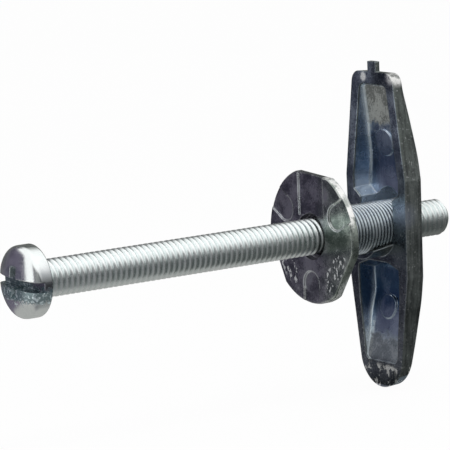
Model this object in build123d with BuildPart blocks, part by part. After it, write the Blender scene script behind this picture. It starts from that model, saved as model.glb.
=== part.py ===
from build123d import *
from math import cos, radians, sin
import os

# Tilt toggle anchor for hollow walls: a machine screw, a flanged threaded sleeve and a tilting toggle bar.
# Millimetres. The origin is on the screw axis in the flange's wall face, +X runs from the screw head
# to the screw tip (into the wall), +Z runs up along the toggle bar as it stands across the sleeve.

# Machine screw, M6 x 80 with a slotted cross-recess pan head
screw_length = 80.0
screw_radius = 3.0
tip_radius = 2.2
tip_chamfer = 0.8
screw_seat_x = -54.6
head_radius = 5.7
head_band = 1.7
head_height = 3.7
slot_width = 1.6
slot_turn = 3.0
crown_points = [(3.33, 3.53), (2.7, 5.13)]
slot_depth = 2.3
recess_wing_width = 1.5
recess_wing_radius = 2.7
recess_bottom_radius = 1.0
recess_depth = 2.7

# Flanged sleeve
flange_radius = 11.0
flange_thickness = 1.5
flange_edge_break = 0.2
flat_distance = 10.15
flat_angle = 94.0
mark_angle = 31.5
mark_distance = 7.8
mark_radius = 2.1
mark_depth = 0.3
panel_width = 6.5
panel_height = 6.8
panel_middle_y = -0.35
panel_bottom_z = 3.35
panel_depth = 0.22
mouth_radius = 3.75
mouth_depth = 1.4
screw_play = 0.05
sleeve_radius = 4.15
sleeve_length = 17.0
sleeve_end_chamfer = 0.4
sleeve_root_round = 0.3

# Toggle bar, drawn from its open front rim (toward the flange) to its back
rim_x = 12.1
bar_depth = 3.55
bar_draft = 4.0
bar_top_z = 25.4
bar_top_half_width = 5.14
bar_top_corner = 2.0
shoulder_half_width = 7.7
shoulder_top_z = 8.0
shoulder_bottom_z = -8.0
bar_end_radius = 5.45
bar_end_z = -26.8
bar_end_taper = 8.5
back_points_up = [(3.12, 15.0), (2.42, 20.0), (2.05, 22.5)]
back_points_down = [(3.2, -15.0), (2.62, -20.0), (2.15, -23.5)]
back_flat_half = 10.0
back_end_depth = 1.95
end_margin = 1.0

# Pockets in the bar's front, above and below the nut block
pocket_depth = 2.65
pocket_draft = 20.0
pocket_corner = 1.3
upper_pocket_plan = [(3.45, 23.4), (5.9, 8.0), (5.9, 5.75), (3.6, 4.08)]
lower_pocket_plan = [(0.6, -5.1), (5.3, -6.75), (5.4, -8.0), (5.2, -12.5), (4.65, -17.5), (4.15, -22.6)]
upper_floor_points = [(2.15, 14.4), (1.72, 17.5), (1.28, 20.0), (0.85, 22.2)]
lower_floor_points = [(1.9, -14.0), (1.22, -17.6), (0.72, -20.0), (0.38, -21.6)]
upper_floor_end_depth = 0.55
lower_floor_end_depth = 0.2
floor_flat_half = 10.5
upper_floor_round = 0.8
lower_floor_round = 1.6
block_top_z = 4.6
block_bottom_z = -5.8
floor_mark_z = 13.6
floor_mark_tilt = 9.0
floor_mark_height = 0.25
upper_mark_radius = 2.25
upper_mark_floor_depth = 2.28
lower_mark_radius = 2.0
lower_mark_floor_depth = 1.97

# Nut in the middle of the bar: a half shell in front below, a half shell behind above
thread_play = 0.1
cradle_wall = 0.75
cradle_front_x = 8.4
cradle_front_z = -3.3
cradle_back_z = -2.6
shell_overlap = 0.5
rear_shell_end_x = 17.7
rear_shell_root_radius = 6.4
rear_shell_edge_z = 2.7

# Tilting of the bar about the level axis through the pivot
pivot_x = 14.8
tilt_angle = 45.0
tilt_spare = 1.5
tilt_play = 0.15
relief_margin = 4.0

# Nub on the bar's top end
nub_width = 2.1
nub_thickness = 0.85
nub_top_z = 27.1
nub_root_z = 24.6

nut_radius = sleeve_radius + thread_play
tilt_radius = sleeve_radius + tilt_play
relief_angle = tilt_angle + tilt_spare
relief_reach = (sleeve_radius + bar_depth) / sin(radians(relief_angle)) + relief_margin
head_top_x = screw_seat_x - head_height
screw_tip_x = screw_seat_x + screw_length
bar_back_x = rim_x + bar_depth
bar_end_centre_z = bar_end_z + bar_end_radius
lower_half_width = (
    bar_end_radius + (shoulder_bottom_z - bar_end_centre_z) * sin(radians(bar_end_taper))
) / cos(radians(bar_end_taper))
end_tangent = (
    bar_end_radius * cos(radians(bar_end_taper)),
    bar_end_centre_z - bar_end_radius * sin(radians(bar_end_taper)),
)

# Cross recess: two crossed wings that narrow toward the bottom of a cone
with BuildPart() as cross_recess:
    with BuildSketch(Plane.YZ.offset(head_top_x)):
        Rectangle(2 * recess_wing_radius, recess_wing_width, rotation=slot_turn)
        Rectangle(recess_wing_width, 2 * recess_wing_radius, rotation=slot_turn)
    extrude(amount=recess_depth)
    with BuildSketch(Plane.XZ):
        with BuildLine():
            Polyline(
                (head_top_x, 0),
                (head_top_x, recess_wing_radius),
                (head_top_x + recess_depth, recess_bottom_radius),
                (head_top_x + recess_depth, 0),
                close=True,
            )
        make_face()
    revolve(axis=Axis.X, mode=Mode.INTERSECT)

# Machine screw: pan head, fully threaded shank at its crest size, chamfered tip
with BuildPart() as machine_screw:
    with BuildSketch(Plane.XZ):
        with BuildLine():
            Spline(
                (head_top_x, 0),
                *[(screw_seat_x - height, radius) for height, radius in crown_points],
                (screw_seat_x - head_band, head_radius),
                tangents=[(0, 1), (1, 0)],
            )
            Polyline(
                (screw_seat_x - head_band, head_radius),
                (screw_seat_x, head_radius),
                (screw_seat_x, screw_radius),
                (screw_tip_x - tip_chamfer, screw_radius),
                (screw_tip_x, tip_radius),
                (screw_tip_x, 0),
                (head_top_x, 0),
            )
        make_face()
    revolve(axis=Axis.X)
    with BuildSketch(Plane.YZ.offset(head_top_x)):
        Rectangle(3 * head_radius, slot_width, rotation=slot_turn)
    extrude(amount=slot_depth, mode=Mode.SUBTRACT)
    add(cross_recess.part, mode=Mode.SUBTRACT)
machine_screw.part.label = "machine_screw"

# Flanged sleeve: one casting, a round flange with three flats and the threaded sleeve behind it
with BuildPart() as flanged_sleeve:
    with BuildSketch(Plane.YZ.offset(-flange_thickness)):
        Circle(flange_radius)
        with PolarLocations(flat_distance + flange_radius / 2, 3, start_angle=flat_angle):
            Rectangle(flange_radius, 2 * flange_radius, mode=Mode.SUBTRACT)
    extrude(amount=flange_thickness)
    front_edges = flanged_sleeve.faces().sort_by(Axis.X)[0].edges()
    back_edges = flanged_sleeve.faces().sort_by(Axis.X)[-1].edges()
    chamfer(front_edges + back_edges, length=flange_edge_break)
    with BuildSketch(Plane.YZ.offset(-flange_thickness)):
        with PolarLocations(mark_distance, 3, start_angle=mark_angle):
            Circle(mark_radius)
            Rectangle(flange_radius, 2 * mark_radius, align=(Align.MIN, Align.CENTER))
    extrude(amount=mark_depth, mode=Mode.SUBTRACT)
    with BuildSketch(Plane.YZ.offset(-flange_thickness)):
        with Locations((panel_middle_y, panel_bottom_z)):
            Rectangle(panel_width, panel_height, align=(Align.CENTER, Align.MIN))
    extrude(amount=panel_depth, mode=Mode.SUBTRACT)
    with BuildSketch(Plane.XZ):
        with BuildLine():
            Polyline((0, sleeve_radius + sleeve_root_round), (-mark_depth, sleeve_radius), (-mark_depth, 0))
            Polyline((-mark_depth, 0), (sleeve_length, 0), (sleeve_length, sleeve_radius - sleeve_end_chamfer))
            Polyline(
                (sleeve_length, sleeve_radius - sleeve_end_chamfer),
                (sleeve_length - sleeve_end_chamfer, sleeve_radius),
                (sleeve_root_round, sleeve_radius),
            )
            CenterArc((sleeve_root_round, sleeve_radius + sleeve_root_round), sleeve_root_round, 180, 90)
        make_face()
    revolve(axis=Axis.X)
    with BuildSketch(Plane.YZ.offset(-flange_thickness)):
        Circle(screw_radius + screw_play)
    extrude(amount=flange_thickness + sleeve_length, mode=Mode.SUBTRACT)
    with BuildSketch(Plane.YZ.offset(-flange_thickness)):
        Circle(mouth_radius)
    extrude(amount=mouth_depth, mode=Mode.SUBTRACT)
flanged_sleeve.part.label = "flanged_sleeve"

# Space of the two pockets, with sloping walls and with floors that rise toward the ends of the bar
with BuildPart() as pockets:
    with BuildSketch(Plane.YZ.offset(rim_x)) as pocket_outline:
        for plan in (upper_pocket_plan, lower_pocket_plan):
            with BuildLine():
                Polyline(*plan, *[(-y, z) for y, z in reversed(plan)], close=True)
            make_face()
        corner_rows = pocket_outline.vertices().group_by(Axis.Y)
        fillet(corner_rows[0] + corner_rows[-1], radius=pocket_corner)
    extrude(amount=pocket_depth, taper=pocket_draft)
    with BuildSketch(Plane.XZ):
        for side, block_z, floor_round, floor_points, end_depth, end_z in (
            (1, block_top_z, upper_floor_round, upper_floor_points, upper_floor_end_depth, bar_top_z),
            (-1, block_bottom_z, lower_floor_round, lower_floor_points, lower_floor_end_depth, bar_end_z),
        ):
            floor_x = rim_x + pocket_depth
            with BuildLine():
                Line((rim_x, block_z), (floor_x - floor_round, block_z))
                RadiusArc(
                    (floor_x - floor_round, block_z),
                    (floor_x, block_z + side * floor_round),
                    -side * floor_round,
                )
                Line((floor_x, block_z + side * floor_round), (floor_x, side * floor_flat_half))
                Spline(
                    (floor_x, side * floor_flat_half),
                    *[(rim_x + depth, z) for depth, z in floor_points],
                    (rim_x + end_depth, end_z),
                    tangents=[(0, side), (-0.03, side)],
                )
                Line((rim_x + end_depth, end_z), (rim_x, end_z))
                Line((rim_x, end_z), (rim_x, block_z))
            make_face()
    extrude(amount=2 * shoulder_half_width, both=True, mode=Mode.INTERSECT)

# Lower half shell of the nut in front of the bar, its edge falling toward its front
with BuildPart() as cradle:
    with BuildSketch(Plane.YZ.offset(cradle_front_x)):
        Circle(nut_radius + cradle_wall)
    extrude(amount=rim_x + shell_overlap - cradle_front_x)
    with BuildSketch(Plane.XZ):
        with BuildLine():
            Polyline(
                (cradle_front_x, cradle_front_z),
                (rim_x, cradle_back_z),
                (rim_x + shell_overlap, cradle_back_z),
                (rim_x + shell_overlap, -2 * nut_radius),
                (cradle_front_x, -2 * nut_radius),
                close=True,
            )
        make_face()
    extrude(amount=2 * nut_radius, both=True, mode=Mode.INTERSECT)

# Upper half shell of the nut behind the bar, thicker at its root
with BuildPart() as rear_shell:
    with BuildSketch(Plane.XZ):
        with BuildLine():
            Polyline(
                (bar_back_x - shell_overlap, 0),
                (bar_back_x - shell_overlap, rear_shell_root_radius),
                (bar_back_x, rear_shell_root_radius),
                (rear_shell_end_x, nut_radius + cradle_wall),
                (rear_shell_end_x, 0),
                close=True,
            )
        make_face()
    revolve(axis=Axis.X)
    with BuildSketch(Plane.XY.offset(rear_shell_edge_z)):
        Rectangle(3 * rear_shell_end_x, 3 * rear_shell_root_radius)
    extrude(amount=-2 * rear_shell_root_radius, mode=Mode.SUBTRACT)

# Space swept by the sleeve as the bar tilts about the pivot
pivot_plane = Plane(origin=(pivot_x, 0, 0), x_dir=(1, 0, 0), z_dir=(0, -1, 0))
slope = (cos(radians(relief_angle)), -sin(radians(relief_angle)))
tilted_plane = Plane(origin=(pivot_x, 0, 0), x_dir=(0, 1, 0), z_dir=(slope[0], 0, slope[1]))
with BuildPart() as sleeve_sweep:
    with BuildSketch(Plane.YZ):
        Circle(nut_radius)
    extrude(amount=2 * pivot_x)
    with BuildSketch(tilted_plane):
        Circle(tilt_radius)
    extrude(amount=relief_reach, both=True)
    with BuildSketch(pivot_plane):
        Polygon((0, 0), (relief_reach, 0), (relief_reach * slope[0], relief_reach * slope[1]), align=None)
        Polygon((0, 0), (-relief_reach, 0), (-relief_reach * slope[0], -relief_reach * slope[1]), align=None)
    extrude(amount=tilt_radius, both=True)

# Toggle bar: one casting
bar_side = [
    (bar_top_half_width, bar_top_z),
    (shoulder_half_width, shoulder_top_z),
    (lower_half_width, shoulder_bottom_z),
    end_tangent,
]
with BuildPart() as toggle_bar:
    with BuildSketch(Plane.YZ.offset(rim_x)) as bar_outline:
        with BuildLine():
            Polyline(*bar_side)
            ThreePointArc(end_tangent, (0, bar_end_z), (-end_tangent[0], end_tangent[1]))
            Polyline(*[(-y, z) for y, z in reversed(bar_side)])
            Line((-bar_top_half_width, bar_top_z), (bar_top_half_width, bar_top_z))
        make_face()
        fillet(bar_outline.vertices().group_by(Axis.Y)[-1], radius=bar_top_corner)
    extrude(amount=bar_depth, taper=bar_draft)
    with BuildSketch(Plane.XZ):
        with BuildLine():
            Line((bar_back_x, -back_flat_half), (bar_back_x, back_flat_half))
            Spline(
                (bar_back_x, back_flat_half),
                *[(rim_x + depth, z) for depth, z in back_points_up],
                (rim_x + back_end_depth, bar_top_z + end_margin),
                tangents=[(0, 1), (-0.03, 1)],
            )
            Polyline(
                (rim_x + back_end_depth, bar_top_z + end_margin),
                (rim_x, bar_top_z + end_margin),
                (rim_x, bar_end_z - end_margin),
                (rim_x + back_end_depth, bar_end_z - end_margin),
            )
            Spline(
                (rim_x + back_end_depth, bar_end_z - end_margin),
                *[(rim_x + depth, z) for depth, z in reversed(back_points_down)],
                (bar_back_x, -back_flat_half),
                tangents=[(0.03, 1), (0, 1)],
            )
        make_face()
    extrude(amount=2 * shoulder_half_width, both=True, mode=Mode.INTERSECT)
    add(pockets.part, mode=Mode.SUBTRACT)
    add(cradle.part)
    add(rear_shell.part)
    add(sleeve_sweep.part, mode=Mode.SUBTRACT)
    with BuildSketch(Plane.YZ.offset(rim_x)):
        with Locations((0, nub_root_z)):
            Rectangle(nub_width, nub_top_z - nub_root_z, align=(Align.CENTER, Align.MIN))
    extrude(amount=nub_thickness)
    for side, radius, floor_depth in (
        (1, upper_mark_radius, upper_mark_floor_depth),
        (-1, lower_mark_radius, lower_mark_floor_depth),
    ):
        mark_plane = Plane(
            origin=(rim_x + floor_depth, 0, side * floor_mark_z),
            x_dir=(0, 1, 0),
            z_dir=(-cos(radians(floor_mark_tilt)), 0, -side * sin(radians(floor_mark_tilt))),
        )
        with BuildSketch(mark_plane):
            Circle(radius)
        extrude(amount=floor_mark_height, both=True)
toggle_bar.part.label = "toggle_bar"

os.makedirs("parts", exist_ok=True)
export_step(machine_screw.part, "parts/machine_screw.step")
export_step(flanged_sleeve.part, "parts/flanged_sleeve.step")
export_step(toggle_bar.part, "parts/toggle_bar.step")
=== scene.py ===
# %% [markdown]
# # A tilt toggle anchor, from CAD solids to a photograph
#
# The anchor has three pieces: a long machine screw, a flanged sleeve with a thread inside and out, and
# a toggle bar that tilts on the sleeve. The CAD model holds their true sizes, seats and joints. This
# lesson adds what a CAD model leaves out: the helical threads, the metal finishes, the light and the
# camera. Everything is in metres, with +X running from the screw's head to its tip and +Z up.

# %% Load the frame and note its box
from math import cos, pi, radians, sin

import bmesh
import bpy
from mathutils import Matrix, Vector


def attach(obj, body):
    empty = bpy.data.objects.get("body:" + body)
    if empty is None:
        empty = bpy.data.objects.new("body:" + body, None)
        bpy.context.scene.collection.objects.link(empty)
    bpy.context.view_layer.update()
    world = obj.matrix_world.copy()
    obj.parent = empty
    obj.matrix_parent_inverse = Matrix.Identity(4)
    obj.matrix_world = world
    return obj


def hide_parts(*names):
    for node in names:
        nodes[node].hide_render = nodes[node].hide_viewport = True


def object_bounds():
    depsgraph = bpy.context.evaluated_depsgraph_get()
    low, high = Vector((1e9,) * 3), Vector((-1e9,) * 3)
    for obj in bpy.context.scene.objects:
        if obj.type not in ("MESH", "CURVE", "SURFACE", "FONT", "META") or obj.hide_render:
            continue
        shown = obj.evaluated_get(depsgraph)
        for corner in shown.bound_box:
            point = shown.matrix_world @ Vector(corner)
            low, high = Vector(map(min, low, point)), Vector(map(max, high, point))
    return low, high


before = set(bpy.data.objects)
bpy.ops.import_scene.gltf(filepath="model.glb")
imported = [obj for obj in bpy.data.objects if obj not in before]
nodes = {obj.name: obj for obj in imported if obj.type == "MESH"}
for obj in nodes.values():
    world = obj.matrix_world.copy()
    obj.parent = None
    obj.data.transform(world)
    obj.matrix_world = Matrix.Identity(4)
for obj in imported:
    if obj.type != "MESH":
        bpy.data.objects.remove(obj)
CAD_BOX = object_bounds()
MM = 0.001
print("CAD box in mm:", [[round(value / MM, 1) for value in corner] for corner in CAD_BOX])

# %% [markdown]
# ## Sizes that the drawing repeats from the solids
# The threads are built here, so they need the radii and ends that the plain CAD cylinders have.

# %% Name the sizes
SCREW_SEAT, SCREW_TIP = -54.6 * MM, 25.4 * MM
SCREW_PITCH, SCREW_CREST, SCREW_ROOT = 1.0 * MM, 2.98 * MM, 2.72 * MM
TIP_RADIUS, TIP_CHAMFER = 2.2 * MM, 0.8 * MM
SLEEVE_END, SLEEVE_PITCH = 17.0 * MM, 0.64 * MM
SLEEVE_CREST, SLEEVE_ROOT, SLEEVE_BORE = 4.15 * MM, 3.76 * MM, 3.05 * MM
PANEL_MIDDLE, PANEL_HALF = -0.35 * MM, 3.25 * MM
MARK_DISTANCE, MARK_RADIUS = 7.8 * MM, 2.1 * MM


# %% [markdown]
# ## Helical threads
# A thread is one profile, swept round the axis while it moves along it by one pitch per turn. The
# vertices follow the helix, so the crest stays a clean line. At `t` whole turns the ring closes on the
# next turn of the same profile point, which is why the last facet links to `turn + 1`.

# %% Sweep a thread profile
def swept_thread(mesh, start, end, pitch, profile, limit, facets=56):
    """Adds a helical surface along X to a bmesh. profile lists (share of pitch, radius); limit caps the radius at x."""
    first = int(start / pitch) - 2
    last = int(end / pitch) + 2
    rings = {}
    for turn in range(first, last + 1):
        for place, (share, radius) in enumerate(profile):
            for facet in range(facets):
                x = (turn + share + facet / facets) * pitch
                x = min(max(x, start), end)
                reach = min(radius, limit(x))
                angle = 2 * pi * facet / facets
                rings[turn, place, facet] = mesh.verts.new((x, reach * cos(angle), reach * sin(angle)))
    for turn in range(first, last):
        for place in range(len(profile)):
            for facet in range(facets):
                corners = []
                for step, side in ((0, 0), (1, 0), (1, 1), (0, 1)):
                    spot = turn * len(profile) + place + step
                    spin = facet + side
                    spot += len(profile) * (spin // facets)
                    corners.append(rings.get((spot // len(profile), spot % len(profile), spin % facets)))
                if None not in corners:
                    mesh.faces.new(corners)
    bmesh.ops.remove_doubles(mesh, verts=mesh.verts[:], dist=1e-7)
    bmesh.ops.dissolve_degenerate(mesh, edges=mesh.edges[:], dist=1e-8)


def rounded_profile(root, crest, crest_share, root_share):
    """One pitch of a thread with eased crest and root corners."""
    flank = (1 - crest_share - root_share) / 2
    depth = crest - root
    climb = [
        (0.0, root), (root_share / 2, root + 0.02 * depth), (root_share / 2 + 0.25 * flank, root + 0.2 * depth),
        (root_share / 2 + 0.8 * flank, root + 0.85 * depth), (root_share / 2 + flank, root + 0.98 * depth),
    ]
    fall = [(1 - share, radius) for share, radius in climb[1:]]
    return climb + [(0.5, crest)] + fall[::-1]


def ring(mesh, x, radius, facets=56):
    return [mesh.verts.new((x, radius * cos(2 * pi * k / facets), radius * sin(2 * pi * k / facets))) for k in range(facets)]


def band(mesh, one, two):
    for k in range(len(one)):
        mesh.faces.new((one[k - 1], one[k], two[k], two[k - 1]))


def as_piece(mesh, name, body, replaced=None):
    """Turns a bmesh into an object that rides on a body and stands for a CAD node."""
    bmesh.ops.recalc_face_normals(mesh, faces=mesh.faces[:])
    data = bpy.data.meshes.new(name)
    mesh.to_mesh(data)
    mesh.free()
    if "custom_normal" in data.attributes:
        data.attributes.remove(data.attributes["custom_normal"])
    data.shade_smooth()
    data.set_sharp_from_angle(angle=radians(35))
    piece = bpy.data.objects.new(name, data)
    bpy.context.collection.objects.link(piece)
    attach(piece, body)
    if replaced:
        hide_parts(replaced)
    print(name, len(data.polygons), "faces")
    return piece


# %% [markdown]
# ## The screw
# The head keeps the solid's own shape, cut off where the plain shank starts. The shank gets an M6
# thread that runs right up under the head and ends in the chamfered tip.

# %% Build the screw
def cut_from(node, x):
    """A bmesh copy of a CAD node's mesh, keeping only what lies below x."""
    mesh = bmesh.new()
    mesh.from_mesh(nodes[node].data)
    everything = mesh.verts[:] + mesh.edges[:] + mesh.faces[:]
    bmesh.ops.bisect_plane(mesh, geom=everything, plane_co=(x, 0, 0), plane_no=(1, 0, 0), clear_outer=True)
    bmesh.ops.remove_doubles(mesh, verts=mesh.verts[:], dist=1e-7)
    return mesh


def screw_limit(x):
    return TIP_RADIUS + max(0.0, SCREW_TIP - x)


head = as_piece(cut_from("machine_screw", SCREW_SEAT + 0.01 * MM), "screw_head", "screw", "machine_screw")
shank_mesh = bmesh.new()
swept_thread(shank_mesh, SCREW_SEAT - 0.3 * MM, SCREW_TIP, SCREW_PITCH,
             rounded_profile(SCREW_ROOT, SCREW_CREST, 0.2, 0.2), screw_limit)
bmesh.ops.holes_fill(shank_mesh, edges=[e for e in shank_mesh.edges if e.is_boundary])
shank = as_piece(shank_mesh, "screw_shank", "screw", "machine_screw")

# %% [markdown]
# ## The flanged sleeve
# The flange keeps the solid's shape. Behind it the barrel gets a fine outer thread, an end face and its bore.

# %% Build the sleeve
def sleeve_limit(x):
    return SLEEVE_CREST - 0.4 * MM + max(0.0, SLEEVE_END - x)


flange = as_piece(cut_from("flanged_sleeve", 0.32 * MM), "sleeve_flange", "sleeve", "flanged_sleeve")
barrel_mesh = bmesh.new()
swept_thread(barrel_mesh, 0.0, SLEEVE_END, SLEEVE_PITCH,
             rounded_profile(SLEEVE_ROOT, SLEEVE_CREST, 0.2, 0.2), sleeve_limit)
bore_end = ring(barrel_mesh, SLEEVE_END, SLEEVE_BORE)
bore_start = ring(barrel_mesh, 0.0, SLEEVE_BORE)
band(barrel_mesh, bore_start, bore_end)
outer_end = ring(barrel_mesh, SLEEVE_END, SLEEVE_CREST - 0.4 * MM)
band(barrel_mesh, outer_end, bore_end)
barrel = as_piece(barrel_mesh, "sleeve_barrel", "sleeve", "flanged_sleeve")


# %% [markdown]
# ## Shader arithmetic
# A node tree reads badly as a list of nodes. `Wire` wraps one output socket, so that a pattern can be
# written as a sum or a product. Python calls the reflected forms (`__radd__` and the like) when the
# plain number stands on the left.

# %% Wrap a socket
class Wire:
    """One output socket of a shader tree, used in plain arithmetic."""

    def __init__(self, tree, socket):
        self.tree, self.socket = tree, socket

    def node(self, kind, inputs=(), output=0, **settings):
        """Makes any node from its type, its settings and what feeds its inputs."""
        made = self.tree.nodes.new(kind)
        for name, value in settings.items():
            setattr(made, name, value)
        for name, value in dict(inputs).items():
            if isinstance(value, Wire):
                self.tree.links.new(value.socket, made.inputs[name])
            else:
                made.inputs[name].default_value = value
        return Wire(self.tree, made.outputs[output])

    def combine(self, operation, one, two):
        if "RGBA" in (getattr(one, "kind", ""), getattr(two, "kind", "")):
            return self.node("ShaderNodeMix", {0: 1.0, 6: one, 7: two}, 2, data_type="RGBA", blend_type=operation)
        if "VECTOR" in (getattr(one, "kind", ""), getattr(two, "kind", "")):
            return self.node("ShaderNodeVectorMath", {0: one, 1: two}, operation=operation)
        return self.node("ShaderNodeMath", {0: one, 1: two}, operation=operation)

    @property
    def kind(self):
        return self.socket.type

    def __add__(self, other):
        return self.combine("ADD", self, other)

    def __radd__(self, other):
        return self.combine("ADD", other, self)

    def __sub__(self, other):
        return self.combine("SUBTRACT", self, other)

    def __rsub__(self, other):
        return self.combine("SUBTRACT", other, self)

    def __mul__(self, other):
        return self.combine("MULTIPLY", self, other)

    def __rmul__(self, other):
        return self.combine("MULTIPLY", other, self)

    def __pow__(self, other):
        return self.combine("POWER", self, other)

    def parts(self):
        """The three numbers of a vector."""
        split = self.tree.nodes.new("ShaderNodeSeparateXYZ")
        self.tree.links.new(self.socket, split.inputs[0])
        return [Wire(self.tree, socket) for socket in split.outputs]

    def length(self):
        return self.node("ShaderNodeVectorMath", {0: self}, "Value", operation="LENGTH")

    def above(self, least):
        """The number, or `least` where it falls below it."""
        return self.node("ShaderNodeMath", {0: self, 1: least}, operation="MAXIMUM")

    def size(self):
        """A number without its sign."""
        return self.node("ShaderNodeMath", {0: self}, operation="ABSOLUTE")

    def between(self, low, high, bottom=0.0, top=1.0):
        """Stretches low..high to bottom..top with a soft start and end."""
        return self.node("ShaderNodeMapRange", {0: self, 1: low, 2: high, 3: bottom, 4: top}, interpolation_type="SMOOTHSTEP")

    def blend(self, dark, light):
        """A colour between two colours, by this number."""
        return self.node("ShaderNodeMix", {0: self, 6: dark, 7: light}, 2, data_type="RGBA")

    def noise(self, size, detail=3.0, stretch=(1, 1, 1), roughness=0.5):
        """Noise whose features are about size metres across."""
        place = self.node("ShaderNodeVectorMath", {0: self, 1: stretch}, operation="MULTIPLY")
        return self.node("ShaderNodeTexNoise", {"Vector": place, "Scale": 1 / size, "Detail": detail, "Roughness": roughness})


# %% [markdown]
# ## Metal finishes
# Each finish starts from the same few ideas: a base colour broken up by broad and fine noise, a
# roughness that varies with it, a little bump for the cast or plated skin, and edges rounded by the
# Bevel node so that they catch the light. Where the rounded normal leaves the flat one there is an
# edge. The paler colour laid there is partly wear from handling and partly a painted highlight,
# also along inner corners. Several other marks below paint shade or highlights into the colour,
# and each one says so where it is made.

# %% Start a material
def start_material(name):
    """A new material with its shader and its object coordinates as a Wire."""
    material = bpy.data.materials.new(name)
    material.use_nodes = True
    tree = material.node_tree
    shader = tree.nodes["Principled BSDF"]
    place = Wire(tree, tree.nodes.new("ShaderNodeTexCoord").outputs["Object"])
    return material, shader, place


def feed(shader, place, **inputs):
    """Links wires to the shader's inputs and sets plain numbers on them."""
    for name, value in inputs.items():
        socket = shader.inputs[name.replace("_", " ")]
        if isinstance(value, Wire):
            place.tree.links.new(value.socket, socket)
        else:
            socket.default_value = value


def wear_and_highlight_edges(place, radius, breakup):
    """How far a point lies on a convex or concave edge, broken up by noise: 0 on flats, up to 1 on edges. The finishes
    colour it as wear and as a painted edge highlight.
    """
    rounded = place.node("ShaderNodeBevel", {"Radius": radius}, samples=8)
    flat = place.node("ShaderNodeNewGeometry", (), "Normal")
    turn = rounded.node("ShaderNodeVectorMath", {0: rounded, 1: flat}, "Value", operation="DOT_PRODUCT")
    return (1 - turn).between(0.004, 0.12) * breakup.between(0.35, 0.62, 0.15, 1.0), rounded


def dress(pieces, material):
    for piece in pieces:
        piece.data.materials.clear()
        piece.data.materials.append(material)


# %% Zinc plating for the screw
SLOT_TURN = radians(3.0)
zinc, shader, place = start_material("screw_zinc")
along, sideways, upward = place.parts()
on_head = along.between(SCREW_SEAT + 0.05 * MM, SCREW_SEAT - 0.05 * MM)
clouds = place.noise(4 * MM, 4)
scuffs = place.noise(0.35 * MM, 5, (0.25, 1, 1))
groove = (place * (0, 1, 1)).length().between(SCREW_ROOT, 2.92 * MM)
tone = (clouds * 0.5 + scuffs * 0.5).between(0.3, 0.7)
skin = tone.blend((0.88, 0.93, 0.92, 1), (0.97, 1.0, 1.0, 1))
# Painted shade: the thread roots are coloured darker than the crests.
skin = groove.blend((0.82, 0.86, 0.86, 1), (1, 1, 1, 1)) * skin
across_slot = (upward * cos(SLOT_TURN) - sideways * sin(SLOT_TURN)).size()
along_slot = (sideways * cos(SLOT_TURN) + upward * sin(SLOT_TURN)).size()
in_slot = across_slot.between(0.86 * MM, 0.78 * MM)
in_recess = 0.7 * along_slot.between(0.84 * MM, 0.74 * MM) * across_slot.between(2.85 * MM, 2.70 * MM)
cut = on_head * in_slot.above(in_recess)
wear_and_highlight, edge = wear_and_highlight_edges(place, 0.3 * MM, scuffs)
# The head's edges turn paler: partly wear, partly a painted highlight.
skin = (wear_and_highlight * on_head * 0.4).blend(skin, (0.92, 0.93, 0.92, 1))
burrs = place.noise(0.6 * MM, 4, roughness=0.65)
wander = (burrs - 0.5) * (4 * MM)
chewed = (upward + wander).between(-0.3 * MM, -0.8 * MM) * (upward + wander).between(-3.0 * MM, -2.5 * MM)
filled = in_slot * (sideways + wander).between(-2.8 * MM, -1.4 * MM) * 0.8
chewed = on_head * chewed.above(filled)
# Painted shade: the slot and the cross recess are coloured dark violet.
skin = (cut * 0.75).blend(skin, (0.17, 0.14, 0.22, 1))
# In the recess's upper wing the painted shade is lighter and greener.
skin = (on_head * in_recess * upward.between(0.8 * MM, 1.2 * MM)).blend(skin, (0.42, 0.50, 0.50, 1))
# Painted shade: a grey band on the side of the head, above its middle.
head_side_shade = on_head * along.between(-57.0 * MM, -56.2 * MM) * (upward + (clouds - 0.5) * (2 * MM)).between(3.4 * MM, 1.8 * MM) * upward.between(-1 * MM, 0)
skin = (head_side_shade * 0.75).blend(skin, (0.34, 0.36, 0.38, 1))
teal = burrs.between(0.52, 0.61).blend((0.09, 0.16, 0.18, 1), (0.68, 0.80, 0.84, 1))
skin = (chewed * 0.85).blend(skin, teal)
height = scuffs * 0.015 + chewed * burrs * 0.5
bump = place.node("ShaderNodeBump", {"Height": height, "Strength": 1.0, "Distance": 0.08 * MM, "Normal": edge})
shine = scuffs.between(0.3, 0.75, 0.27, 0.35) - on_head * 0.12
feed(shader, place, Base_Color=skin, Metallic=(chewed * (0.6 + filled) + on_head * in_recess * 0.7).between(0.0, 1.0, 1.0, 0.45), Roughness=shine, Normal=bump)
dress((head, shank), zinc)

# %% Cast zinc of the flanged sleeve
casting, shader, place = start_material("sleeve_casting")
along, sideways, upward = place.parts()
clouds = place.noise(3.5 * MM, 4)
patches = place.noise(1.2 * MM, 5, roughness=0.6)
grain = place.noise(0.3 * MM, 4)
tone = (clouds * 0.5 + patches * 0.25 + grain * 0.25).between(0.40, 0.60)
facing, _, _ = place.node("ShaderNodeTexCoord", (), "Normal").parts()
violet = tone.blend((0.14, 0.145, 0.175, 1), (0.42, 0.42, 0.47, 1))
green = tone.blend((0.18, 0.22, 0.20, 1), (0.54, 0.60, 0.54, 1))
face = (sideways + (clouds - 0.5) * (9 * MM)).between(-1.0 * MM, -7.0 * MM).blend(violet, green)
radius = (place * (0, 1, 1)).length()
groove = radius.between(3.80 * MM, 4.08 * MM)
# Painted shade: the barrel's thread roots are coloured nearly black.
thread = groove.blend((0.07, 0.08, 0.10, 1), tone.blend((0.62, 0.70, 0.76, 1), (0.84, 0.91, 0.95, 1)))
skin = along.between(0.05 * MM, 0.5 * MM).blend(face, thread)
wear_and_highlight, edge = wear_and_highlight_edges(place, 0.32 * MM, patches)
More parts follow.
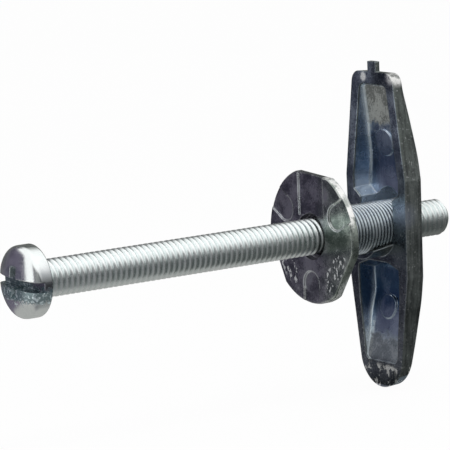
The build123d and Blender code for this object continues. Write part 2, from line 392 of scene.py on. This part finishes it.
# The barrel's thread crests turn pale along the edge mask: a painted highlight, with some wear.
skin = (wear_and_highlight * radius.between(3.9 * MM, 4.3 * MM) * 0.65).blend(skin, (0.72, 0.75, 0.74, 1))
# The outline of the panel and of the three ring marks turns pale: partly wear, partly a painted highlight along those
# edges.
beside = (sideways - PANEL_MIDDLE).size()
outline_wear_and_highlight = (beside - PANEL_HALF).size().between(0.26 * MM, 0.1 * MM) * upward.between(3.3 * MM, 3.6 * MM)
for turn in range(3):
    spot = radians(31.5 + 120 * turn)
    reach = (place * (0, 1, 1) - (0, MARK_DISTANCE * cos(spot), MARK_DISTANCE * sin(spot))).length()
    outline_wear_and_highlight = outline_wear_and_highlight.above((reach - MARK_RADIUS).size().between(0.28 * MM, 0.1 * MM) * radius.between(9.3 * MM, 8.6 * MM))
skin = (outline_wear_and_highlight * facing.between(-0.5, -0.9) * patches.between(0.3, 0.6, 0.35, 0.85)).blend(skin, (0.78, 0.82, 0.83, 1))
# Painted highlight, with some rubbed wear: the flange's rim is coloured near white at its upper right, and half as
# strongly lower down.
rubbing_and_highlights = facing.between(-0.85, -0.5) * sideways.between(-2.5 * MM, -4.5 * MM) * (upward + (patches - 0.5) * (5 * MM)).between(1.5 * MM, 5.0 * MM)
lower = facing.between(-0.85, -0.5) * (upward + (patches - 0.5) * (8 * MM)).between(-4.5 * MM, -8.0 * MM) * 0.5
rubbing_and_highlights = rubbing_and_highlights.above(lower) * radius.between(8.0 * MM, 9.0 * MM)
skin = (rubbing_and_highlights * patches.between(0.40, 0.54, 0.3, 1.0)).blend(skin, (1, 1, 0.98, 1))
flecks = place.noise(0.6 * MM, 3, (1, 1, 0.7)).between(0.53, 0.60) * radius.between(6.2 * MM, 6.8 * MM) * radius.between(10.2 * MM, 9.4 * MM)
flecks = flecks * upward.between(-1.0 * MM, -2.0 * MM) * sideways.size().between(3.2 * MM, 4.2 * MM) * (1 - facing.between(-0.95, -0.8))
skin = (flecks * 0.85).blend(skin, (0.90, 0.93, 0.92, 1))
# Painted shade: the mouth of the bore is coloured near black.
mouth_shade = radius.between(3.6 * MM, 3.85 * MM) + along.between(-0.25 * MM, 0.05 * MM)
skin = mouth_shade.between(0.0, 1.0).blend((0.02, 0.02, 0.02, 1), skin)
bump = place.node("ShaderNodeBump", {"Height": grain, "Strength": 0.35, "Distance": 0.06 * MM, "Normal": edge})
feed(shader, place, Base_Color=skin, Metallic=(rubbing_and_highlights + flecks * 0.7 + outline_wear_and_highlight * 0.35).between(0.0, 1.0, 0.95, 0.35),
     Roughness=clouds.between(0.3, 0.7, 0.2, 0.34), Normal=bump)
dress((flange, barrel), casting)

# %% Darker casting of the toggle bar
dark, shader, place = start_material("toggle_casting")
depth, sideways, height = place.parts()
off_middle = sideways.size()
clouds = place.noise(5 * MM, 4)
patches = place.noise(1.6 * MM, 5, roughness=0.65)
grain = place.noise(0.3 * MM, 4)
streaks = place.noise(0.6 * MM, 3, (1, 1, 0.06))
tone = (clouds * 0.4 + patches * 0.3 + grain * 0.3).between(0.40, 0.60)
facing, _, upness = place.node("ShaderNodeTexCoord", (), "Normal").parts()
rim = tone.blend((0.15, 0.18, 0.23, 1), (0.55, 0.60, 0.68, 1))
# Painted shade: the rim is coloured darker towards the bottom end.
rim = height.between(-12 * MM, 12 * MM).blend((0.25, 0.25, 0.27, 1), (0.95, 1.05, 1.0, 1)) * rim
flank = (tone * 0.4 + streaks.between(0.35, 0.65) * 0.6).blend((0.09, 0.10, 0.10, 1), (0.32, 0.35, 0.34, 1))
# Painted shade: the flank is coloured darker towards the top.
flank = height.between(6 * MM, 14 * MM).blend((1, 1, 1, 1), (0.7, 0.72, 0.7, 1)) * flank
shaded = sideways.between(1 * MM, -1 * MM) * height.between(21 * MM, 23.5 * MM)
rim = shaded.blend((1, 1, 1, 1), (0.4, 0.4, 0.4, 1)) * rim
outside = facing.between(-0.9, -0.5).blend(rim, flank)
wall = facing.between(-0.88, -0.6)
# Painted reflection and light: the pockets' blue, and its pale zones near the nut, towards both ends and along the
# walls' ends. Only the tone and streak terms are the casting's own variation.
pocket_light_and_tone = height.between(-11 * MM, -17 * MM) * 0.8 + height.between(4 * MM, 16 * MM) * 0.5
near_nut = (height + patches * (3 * MM)).between(12 * MM, 7.5 * MM) * height.between(0, 2 * MM)
streak = (place * (0, 1, 0.2)).noise(0.9 * MM, 3)
pocket_light_and_tone = pocket_light_and_tone + near_nut * wall.between(0.0, 1.0, 0.85, 1.1) + wall * off_middle * height.size().between(15 * MM, 20 * MM) * 60 + (tone - 0.5) * 0.4 + (streak - 0.5) * 0.8
inside = pocket_light_and_tone.blend((0.07, 0.145, 0.26, 1), (0.55, 0.66, 0.80, 1))
# Painted highlights: a glint low on the lower pocket's far wall, and bright lines along the far wall's foot in both
# pockets.
glint = sideways.between(2.8 * MM, 3.4 * MM) * height.between(-14.5 * MM, -17.0 * MM) * patches.between(0.3, 0.6)
junction_highlight = sideways - height.between(-12 * MM, -20 * MM, 4.30 * MM, 4.10 * MM)
high_junction_highlight = sideways + height * 0.085 - 5.1 * MM
junction_highlight = junction_highlight.size().between(0.36 * MM, 0.10 * MM) * (height.between(-6 * MM, -8 * MM) * 0.6 + height.between(-11 * MM, -15 * MM) * 0.4)
junction_highlight = junction_highlight.above(high_junction_highlight.size().between(0.60 * MM, 0.10 * MM) * height.between(5 * MM, 7 * MM))
glint = glint.above(junction_highlight * patches.between(0.25, 0.5, 0.6, 1.0))
# Painted shade: upward-facing tops near the nut are coloured nearly black.
ledge_shade = upness.between(0.6, 0.9) * near_nut * patches.between(0.62, 0.42, 0.35, 1.0)
inside = (ledge_shade * 0.85).blend(inside, (0.05, 0.08, 0.14, 1))
inside = (glint * 0.85).blend(inside, (0.85, 0.95, 1, 1))
rough_part = (tone * 0.6 + grain * 0.4).between(0.3, 0.7).blend((0.17, 0.18, 0.17, 1), (0.40, 0.42, 0.40, 1))
# Painted shade: the rough patch at the lower end is coloured darker and more violet than the upper one.
rough_part = height.between(-4 * MM, 4 * MM).blend((0.50, 0.49, 0.54, 1), (1, 1, 1, 1)) * rough_part
# The painted junction highlight also runs over the rough patch.
rough_part = (junction_highlight * 0.4).blend(rough_part, (0.85, 0.95, 1, 1))
wander = (patches - 0.5) * (6 * MM)
ends = (height + wander).between(15.2 * MM, 17.2 * MM) + (height + wander).between(-19.5 * MM, -17.0 * MM, 1.0, 0.0) * 0.8
ends = ends * (1 - wall)
sunk = depth.between(12.2 * MM, 12.5 * MM) * (off_middle + height.size() * 0.12).between(7.3 * MM, 7.1 * MM)
sunk = sunk * height.between(24.5 * MM, 24.2 * MM) * facing.between(0.5, 0.2)
skin = sunk.blend(outside, ends.blend(inside, rough_part))
wear_and_highlight, edge = wear_and_highlight_edges(place, 0.32 * MM, patches)
# Edges turn pale blue, most of all inside the pockets: wear on outer edges, a painted highlight along the inner
# junctions.
skin = (wear_and_highlight * sunk.between(0.0, 1.0, 0.4, 0.85)).blend(skin, (0.75, 0.82, 0.88, 1))
# Painted glints: pale spots at two upper corners of the rim. They share one mask with the scraped flecks at the lower
# end, which are wear.
near_corner_glint = (place - (13.2 * MM, -4.9 * MM, 24.8 * MM)).length().between(2.1 * MM, 0.9 * MM)
far_corner_glint = (place - (12.1 * MM, 2.3 * MM, 24.5 * MM)).length().between(1.1 * MM, 0.4 * MM)
scraped = height.between(-22.6 * MM, -23.4 * MM) * place.noise(1.3 * MM, 2, (1, 1, 0.7), 0.7).between(0.55, 0.60)
# Painted highlight: a pale blue patch on the nut block's face beside the barrel.
nut_face_highlight = (place - (12.1 * MM, -6.6 * MM, 2.4 * MM)).length().between(3.2 * MM, 0.8 * MM) * 0.4
rubbing_and_highlights = near_corner_glint.above(far_corner_glint * 0.9).above(scraped * 0.6) * patches.between(0.36, 0.52, 0.2, 1.0)
skin = nut_face_highlight.blend(skin, (0.56, 0.62, 0.80, 1))
skin = (rubbing_and_highlights * 0.9).blend(skin, (0.90, 0.90, 0.88, 1))
specks = place.noise(0.35 * MM, 2).between(0.63, 0.72) * (1 - sunk)
skin = (specks * 0.5).blend(skin, (0.85, 0.88, 0.88, 1))
matt = sunk * ends
bump = place.node("ShaderNodeBump", {"Height": grain, "Strength": 0.4, "Distance": 0.07 * MM, "Normal": edge})
feed(shader, place, Base_Color=skin, Metallic=(matt + rubbing_and_highlights + (near_nut * wall + glint) * sunk * 0.5).between(0.0, 1.0, 0.95, 0.35),
     Roughness=clouds.between(0.3, 0.7, 0.18, 0.32) + matt * 0.3 + facing.between(-0.9, -0.5) * (1 - sunk) * 0.16, Normal=bump)
bar = nodes["toggle_bar"]
dress([bar], dark)

# %% [markdown]
# ## The studio
# A white sheet under the anchor, a white surround, and two soft lamps. Bright metal in a white room
# looks like paper, so a photographer sets dark cards round it, just out of the picture, and leaves
# gaps between them for the white to come in. Here one dome holds all the cards. Only reflections see
# it: it throws no shadow and takes no light away. A card's height is written as a function of the
# direction from the anchor, as a `turn` in radians that starts at the gap on the screw's head side.

# %% Sheet, cards, surround and lamps
FLOOR_Z = CAD_BOX[0][2]


def stage_piece(name, mesh, material):
    """A stage object from a bmesh."""
    data = bpy.data.meshes.new(name)
    mesh.to_mesh(data)
    mesh.free()
    data.materials.append(material)
    piece = bpy.data.objects.new(name, data)
    bpy.context.collection.objects.link(piece)
    return piece


def seen_directly(tree):
    """1 for camera, glossy and transmission rays, 0 for the diffuse light that an object receives."""
    rays = tree.nodes.new("ShaderNodeLightPath")
    return sum(Wire(tree, rays.outputs[name]) for name in ("Is Camera Ray", "Is Glossy Ray", "Is Transmission Ray"))


paper, shader, place = start_material("paper")
feed(shader, place, Base_Color=(0.92, 0.92, 0.92, 1), Roughness=0.9)
glow = place.node("ShaderNodeEmission", {"Color": (1, 1, 1, 1), "Strength": 1.0})
mixed = place.node("ShaderNodeMixShader", {0: seen_directly(place.tree) * 0.96, 1: Wire(place.tree, shader.outputs[0]), 2: glow})
place.tree.links.new(mixed.socket, place.tree.nodes["Material Output"].inputs["Surface"])
floor_mesh = bmesh.new()
bmesh.ops.create_grid(floor_mesh, x_segments=1, y_segments=1, size=3.0, matrix=Matrix.Translation((0, 0, FLOOR_Z)))
floor = stage_piece("floor", floor_mesh, paper)

card, shader, place = start_material("dark_card")
way = place.node("ShaderNodeVectorMath", {0: place - (-0.02, 0, 0)}, operation="NORMALIZE")
forward, left, rise = way.parts()
GAP = radians(160)
beyond = left * cos(GAP) - forward * sin(GAP)
turn = beyond.combine("ARCTAN2", beyond, forward * cos(GAP) + left * sin(GAP))
top = turn.between(-2.7, -2.2, 0.45, 0.77) - turn.between(-0.90, -0.60, 0.0, 0.30) - turn.between(-0.19, 0.0, 0.0, 1.5)
top = top + turn.between(0.15, 0.45, 0.0, 1.53) - turn.between(1.4, 2.2, 0.0, 0.2)
soft = forward.between(-0.5, 0.5) * left.between(0.1, -0.3)
open_part = (rise - top).between(soft * -0.42 - 0.1, soft * 0.22 + 0.1)
shade = forward.between(-0.7, 0.2).blend((0.10, 0.088, 0.13, 1), (0.12, 0.125, 0.12, 1))
near = forward.between(-0.8, 0.3).blend((0.20, 0.205, 0.21, 1), (0.05, 0.055, 0.055, 1))
shade = left.between(0.05, -0.25).blend(shade, near)
shade = place.noise(0.08, 3).between(0.35, 0.65).blend((0.65, 0.65, 0.7, 1), (1.25, 1.25, 1.2, 1)) * shade
shade = open_part.blend(shade, (1, 1, 1, 1))
spot = ((place - (-0.05, 0.02, 0)) * (15.4, 38.5, 0)).length().between(1.15, 0.85) * rise.between(0.0, -0.2)
shade = spot.blend(shade, (0.38, 0.38, 0.37, 1))
feed(shader, place, Base_Color=(0, 0, 0, 1), Roughness=1.0, Emission_Color=shade, Emission_Strength=1.0)
card_mesh = bmesh.new()
bmesh.ops.create_uvsphere(card_mesh, u_segments=48, v_segments=24, radius=0.4)
everything = card_mesh.verts[:] + card_mesh.edges[:] + card_mesh.faces[:]
bmesh.ops.bisect_plane(card_mesh, geom=everything, plane_co=(0, 0, FLOOR_Z + 0.0004), plane_no=(0, 0, -1), clear_outer=True)
bmesh.ops.holes_fill(card_mesh, edges=[e for e in card_mesh.edges if e.is_boundary])
cards = stage_piece("dark_cards", card_mesh, card)
cards.visible_camera = cards.visible_diffuse = cards.visible_shadow = cards.visible_transmission = False

world = bpy.data.worlds.new("studio")
bpy.context.scene.world = world
world.use_nodes = True
sky = world.node_tree
strength = seen_directly(sky).between(0.0, 1.0, 0.6, 1.0)
background = sky.nodes["Background"]
background.inputs["Color"].default_value = (1, 1, 1, 1)
sky.links.new(strength.socket, background.inputs["Strength"])


def lamp(name, place, aim, size, power):
    light = bpy.data.lights.new(name, "AREA")
    light.shape, light.size, light.energy = "DISK", size, power
    holder = bpy.data.objects.new(name, light)
    holder.location = place
    holder.rotation_euler = (Vector(aim) - Vector(place)).to_track_quat("-Z", "Y").to_euler()
    bpy.context.collection.objects.link(holder)
    return holder


lamp("key", (0.05, -0.15, 0.6), (0, 0, 0), 0.3, 1.0)
lamp("fill", (-0.5, -0.5, 0.3), (0, 0, 0), 0.4, 0.5)

# %% [markdown]
# ## The camera
# A long lens from the head's side, slightly above, as in the photograph. The direction is given by its
# azimuth and elevation, and the picture leans by a small roll.

# %% Place the camera
AIM = Vector((-12.464, 8.215, 2.430)) * MM
DISTANCE, AZIMUTH, ELEVATION, ROLL = 0.56472, radians(-35.242), radians(8.950), radians(2.412)
back = Vector((sin(AZIMUTH) * cos(ELEVATION), -cos(AZIMUTH) * cos(ELEVATION), sin(ELEVATION)))
right = Vector((0, 0, 1)).cross(back).normalized()
up = back.cross(right)
lean = Matrix((right, up, back)).transposed() @ Matrix.Rotation(-ROLL, 3, "Z")
lens = bpy.data.cameras.new("camera")
lens.sensor_width, lens.lens, lens.clip_start = 36, 280.135, 0.01
camera = bpy.data.objects.new("camera", lens)
camera.matrix_world = Matrix.Translation(AIM + back * DISTANCE) @ lean.to_4x4()
bpy.context.collection.objects.link(camera)
bpy.context.scene.camera = camera
bpy.context.scene.view_settings.view_transform = "Standard"
print("camera at", [round(value, 4) for value in camera.location])
